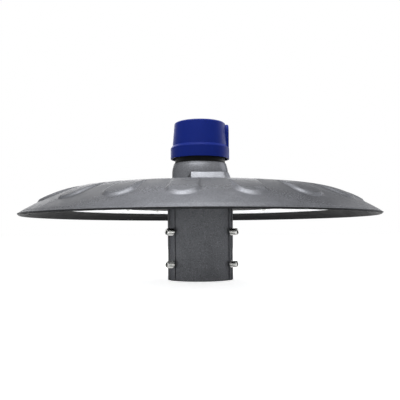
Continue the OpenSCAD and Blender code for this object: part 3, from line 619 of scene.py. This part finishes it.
class LIGHT_OT_housing(bpy.types.Operator):
    """Make the casting's eased outside and paint the housing, the fitter and the trim"""
    bl_idname = "area_light.housing"
    bl_label = "Housing"

    def execute(self, context):
        look = context.scene.area_light_housing
        grain = (look.grain, look.depth)
        matt = {"rough": 0.6, "metal": 0.0, "specular": 0.02}
        coat = powder_coat("Grey powder coat", look.paint, look.shade, *grain)
        form = DomeForm(look.ramp, look.soft)
        for piece, name in ((dome_skin(form), "dome_skin"), (dome_neck(form), "dome_neck"),
                            (neck_block(look.edge), "neck_block"), (dome_core(form), "dome_core")):
            settle(piece, name, coat, "luminaire")
            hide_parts("dome_housing")
        dress(["slip_fitter"], powder_coat(
            "Fitter powder coat", scaled(look.paint, 0.86), scaled(look.shade, 0.82), *grain))
        # Painted shade: the trim's coat is near black, far darker than the grey housing paint, to
        # stand in for the shade under the dome
        dress(["trim_ring", "trim_screws"], powder_coat(
            "Trim powder coat", (0.1, 0.1, 0.102), (0.08, 0.08, 0.082), *grain, **matt))
        dress(["cover_plate"], powder_coat(
            "Dark powder coat", (0.19, 0.19, 0.195), (0.16, 0.16, 0.165), *grain, **matt))
        return {"FINISHED"}


class LIGHT_OT_lens(bpy.types.Operator):
    """Finish the lens, the light boards and the chips behind it"""
    bl_idname = "area_light.lens"
    bl_label = "Lens and boards"

    def execute(self, context):
        # The lens's last value is the strength of its painted glow
        dress(["lens_ring"], diffusing_lens("White diffusing lens", (0.92, 0.93, 0.94), 0.1))
        dress(["led_boards"], circuit_board(
            "White circuit board", (0.9, 0.9, 0.88), (0.8, 0.79, 0.72)))
        dress(["led_chips"], moulded_plastic(
            "Yellow phosphor", (0.95, 0.8, 0.3), (0.97, 0.86, 0.45), 0.4))
        dress(["heat_spreader"], bare_metal(
            "Bare aluminium", (0.78, 0.79, 0.8), 0.35, stretch=(1, 1, 1), scale=90))
        return {"FINISHED"}


class LIGHT_OT_inside(bpy.types.Operator):
    """Finish the drivers, wires, gaskets and other pieces inside the housing"""
    bl_idname = "area_light.inside"
    bl_label = "Inside pieces"

    def execute(self, context):
        dress(["driver_left", "driver_right"], bare_metal(
            "Plated steel case", (0.7, 0.71, 0.72), 0.4, stretch=(1, 14, 1)))
        dress(["surge_protector"], moulded_plastic(
            "Black case", (0.07, 0.07, 0.08), (0.1, 0.1, 0.1), 0.5))
        dress(["terminal_block"], moulded_plastic(
            "Off-white plastic", (0.88, 0.88, 0.84), (0.93, 0.93, 0.9), 0.45))
        dress(["receptacle_leads"], moulded_plastic(
            "Lead sleeve", (0.1, 0.15, 0.45), (0.15, 0.2, 0.5), 0.5))
        dress(["cover_gasket", "lens_gasket", "fitter_gasket", "wire_grommet", "receptacle_gasket"],
              soft_rubber("Black rubber", (0.08, 0.08, 0.08)))
        return {"FINISHED"}


class LIGHT_OT_fasteners(bpy.types.Operator):
    """Make the threaded set screws and finish the other screws and bolts"""
    bl_idname = "area_light.fasteners"
    bl_label = "Screws and bolts"

    def execute(self, context):
        look = context.scene.area_light_screws
        inner_end = 0.0403
        spots = [(angle, z) for angle in (-30, 90, 210) for z in (0.0225, 0.0675)]
        steel = bare_metal(
            "Stainless steel", (0.78, 0.78, 0.77), 0.22, stretch=(1, 1, 1), scale=500)
        dress(["cover_screws", "spreader_screws", "fitter_bolts", "driver_screws",
               "receptacle_screws"], steel)
        pieces = [set_screw(look.pitch, look.depth)]
        for _ in spots[1:]:
            piece = pieces[0].copy()
            piece.data = pieces[0].data.copy()
            context.scene.collection.objects.link(piece)
            pieces.append(piece)
        lying = Matrix.Rotation(math.pi / 2, 4, "Y")
        for number, (piece, (angle, z)) in enumerate(zip(pieces, spots), start=1):
            turn = Matrix.Rotation(math.radians(angle), 4, "Z")
            piece.matrix_world = turn @ Matrix.Translation((inner_end, 0, z)) @ lying
            settle(piece, f"set_screw_{number}", steel, "luminaire")
            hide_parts("set_screws")
        return {"FINISHED"}


class LIGHT_OT_photocontrol(bpy.types.Operator):
    """Finish the photocontrol and its receptacle"""
    bl_idname = "area_light.photocontrol"
    bl_label = "Photocontrol"

    def execute(self, context):
        look = context.scene.area_light_cap
        dress(["photocontrol_cover"], moulded_plastic(
            "Blue moulded plastic", look.plastic, scaled(look.plastic, 1.1), look.roughness,
            specular=0.05))
        dress(["receptacle", "photocontrol_base", "load_relay"], moulded_plastic(
            "Black moulded plastic", (0.045, 0.048, 0.053), (0.065, 0.068, 0.073), 0.5,
            specular=0.1))
        dress(["photocontrol_gasket"], soft_rubber(
            "Black foam", (0.11, 0.11, 0.12), rough=0.9, pore=0.0008))
        dress(["contact_blades", "receptacle_contacts"], bare_metal(
            "Brass", (0.78, 0.62, 0.3), 0.28))
        dress(["sensor_board"], circuit_board(
            "Green circuit board", (0.06, 0.26, 0.13), (0.1, 0.4, 0.2)))
        dress(["photo_sensor"], moulded_plastic(
            "Red epoxy", (0.45, 0.12, 0.1), (0.5, 0.18, 0.15), 0.2))
        dress(["sensor_window"], clear_plastic("Clear window", (0.9, 0.93, 0.95)))
        return {"FINISHED"}


class LIGHT_OT_stage(bpy.types.Operator):
    """Set the floor, the lamps, the pale background and the camera"""
    bl_idname = "area_light.stage"
    bl_label = "Stage"

    # Place, height of the light and its width for that height, by the name of its power
    lamps = {
        "key": ((-0.25, -0.62, 1.2), 0.85, 1.9),
        "top": ((0.0, -0.1, 1.3), 0.8, 1.0),
        "back": ((-0.15, 1.35, 0.85), 1.5, 1.0),
        "side": ((1.25, 0.75, 0.7), 0.9, 1.0),
        "right": ((1.1, -0.55, 1.0), 0.6, 1.0),
    }
    lamps_aim = Vector((0, 0, 0.13))
    floor_z = -0.0005
    # The focal length and the shifts count in pixels of the frame, the roll in radians
    frame_width = 400
    focal = 553
    shift = (-0.36, 33.9)
    roll = -0.0055
    sensor = 36

    def execute(self, context):
        look = context.scene.area_light_stage
        scene = context.scene
        scene.view_settings.view_transform = "Standard"
        clear_selection()
        bpy.ops.mesh.primitive_plane_add(size=40, location=(0, 0, self.floor_z))
        floor = context.object
        floor.name = "Floor"
        floor.data.materials.append(self.floor_material())
        self.world(scene, look.sky)
        for name, (place, height, wide) in self.lamps.items():
            self.lamp(f"{name.capitalize()} lamp", place, height, wide, getattr(look, name))
        self.camera(scene, look)
        return {"FINISHED"}

    def floor_material(self):
        """A pale floor that shows the shadow and is almost white to the camera."""
        material = bpy.data.materials.new("Pale floor")
        material.use_nodes = True
        tree = material.node_tree
        shader = tree.nodes["Principled BSDF"]
        shader.inputs["Base Color"].default_value = (0.8, 0.8, 0.8, 1)
        shader.inputs["Roughness"].default_value = 0.9
        shader.inputs["Specular IOR Level"].default_value = 0.1
        glow = tree.nodes.new("ShaderNodeEmission")
        glow.inputs["Color"].default_value = WHITE
        glow.inputs["Strength"].default_value = 0.75
        both = tree.nodes.new("ShaderNodeAddShader")
        tree.links.new(shader.outputs[0], both.inputs[0])
        tree.links.new(glow.outputs[0], both.inputs[1])
        choose_by_eye(tree, shader, both, "Material Output")
        return material

    def world(self, scene, sky):
        """White to the camera, and a soft light from all round to the object."""
        world = bpy.data.worlds.new("Studio")
        scene.world = world
        world.use_nodes = True
        tree = world.node_tree
        soft = tree.nodes["Background"]
        soft.inputs["Color"].default_value = WHITE
        soft.inputs["Strength"].default_value = sky
        white = tree.nodes.new("ShaderNodeBackground")
        white.inputs["Color"].default_value = WHITE
        white.inputs["Strength"].default_value = 1.0
        choose_by_eye(tree, soft, white, "World Output")

    def lamp(self, name, place, height, wide, power):
        clear_selection()
        bpy.ops.object.light_add(type="AREA", location=place)
        lamp = bpy.context.object
        lamp.name = name
        lamp.data.shape = "ELLIPSE"
        lamp.data.size = height * wide
        lamp.data.size_y = height
        lamp.data.energy = power
        aim = self.lamps_aim - Vector(place)
        lamp.rotation_euler = aim.to_track_quat("-Z", "Y").to_euler()

    def camera(self, scene, look):
        clear_selection()
        bpy.ops.object.camera_add(location=(
            -look.distance * math.sin(look.turn), -look.distance * math.cos(look.turn), look.eye))
        camera = bpy.context.object
        level = Matrix.Rotation(-look.turn, 4, "Z") @ Matrix.Rotation(math.pi / 2, 4, "X")
        camera.rotation_euler = (level @ Matrix.Rotation(self.roll, 4, "Z")).to_euler()
        camera.data.sensor_width = self.sensor
        camera.data.lens = self.focal / self.frame_width * self.sensor
        camera.data.shift_x = self.shift[0] / self.frame_width
        camera.data.shift_y = self.shift[1] / self.frame_width
        scene.camera = camera


def choose_by_eye(tree, unseen, seen, output):
    """Shows one shader to the camera, in mirrors and through glass, and else the other."""
    path = tree.nodes.new("ShaderNodeLightPath")
    eye = path.outputs["Is Camera Ray"]
    for name in ("Is Glossy Ray", "Is Transmission Ray"):
        either = tree.nodes.new("ShaderNodeMath")
        either.operation = "MAXIMUM"
        tree.links.new(eye, either.inputs[0])
        tree.links.new(path.outputs[name], either.inputs[1])
        eye = either.outputs[0]
    choose = tree.nodes.new("ShaderNodeMixShader")
    tree.links.new(eye, choose.inputs[0])
    tree.links.new(unseen.outputs[0], choose.inputs[1])
    tree.links.new(seen.outputs[0], choose.inputs[2])
    tree.links.new(choose.outputs[0], tree.nodes[output].inputs["Surface"])


class LIGHT_PT_panel(bpy.types.Panel):
    """The area light's pieces and stage"""
    bl_idname = "LIGHT_PT_panel"
    bl_label = "Area light"
    bl_space_type = "VIEW_3D"
    bl_region_type = "UI"
    bl_category = "Area light"

    def draw(self, context):
        for group, operator in PANEL_ROWS:
            box = self.layout.box()
            if group:
                look = getattr(context.scene, group)
                for name in look.__annotations__:
                    box.prop(look, name)
            box.operator(operator)


# Each operator in the order in which it runs, with the group of its sizes and colours
PANEL_ROWS = [
    ("area_light_housing", "area_light.housing"),
    (None, "area_light.lens"),
    (None, "area_light.inside"),
    ("area_light_screws", "area_light.fasteners"),
    ("area_light_cap", "area_light.photocontrol"),
    ("area_light_stage", "area_light.stage"),
]
LOOKS = {
    "area_light_housing": HousingLook,
    "area_light_cap": CapLook,
    "area_light_screws": ScrewLook,
    "area_light_stage": StageLook,
}
CLASSES = [
    *LOOKS.values(), LIGHT_OT_housing, LIGHT_OT_lens, LIGHT_OT_inside, LIGHT_OT_fasteners,
    LIGHT_OT_photocontrol, LIGHT_OT_stage, LIGHT_PT_panel,
]


def register():
    for item in CLASSES:
        bpy.utils.register_class(item)
    for name, kind in LOOKS.items():
        setattr(bpy.types.Scene, name, PointerProperty(type=kind))


def unregister():
    for name in LOOKS:
        delattr(bpy.types.Scene, name)
    for item in reversed(CLASSES):
        bpy.utils.unregister_class(item)


def main():
    register()
    for _, operator in PANEL_ROWS:
        group, name = operator.split(".")
        getattr(getattr(bpy.ops, group), name)()


if __name__ == "__main__":
    main()
